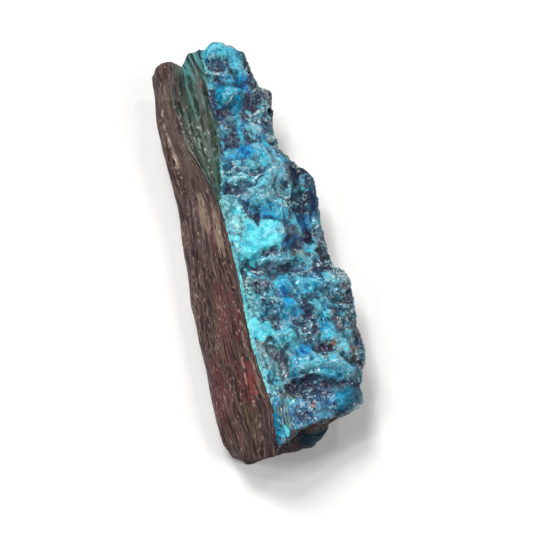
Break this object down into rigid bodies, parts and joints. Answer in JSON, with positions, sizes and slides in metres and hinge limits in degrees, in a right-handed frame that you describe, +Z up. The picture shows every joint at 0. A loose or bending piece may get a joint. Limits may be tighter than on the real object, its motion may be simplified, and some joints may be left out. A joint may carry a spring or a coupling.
{
  "type": "chrysocolla specimen",
  "caption": "Long wedge of rough rock: a lumpy blue-green chrysocolla crust over the upper face, dark fibrous host rock on the side, and a flat base to rest on.",
  "frame": {"origin": "on the flat base, under the middle of the stone's bounding box", "axes": "+Z up from the flat base; +Y along the stone towards its far, narrow end with the knob; +X to the right, so the dark host rock faces -X and the crest runs along the left of the upper face"},
  "size_m": [0.0192, 0.053, 0.0117],
  "materials": {
    "chrysocolla_on_host_rock": "glossy, lumpy blue-green crust over dull, fibrous dark brown rock"
  },
  "bodies": {
    "root": {"chrysocolla_specimen": "chrysocolla_on_host_rock"}
  },
  "joints": []
}
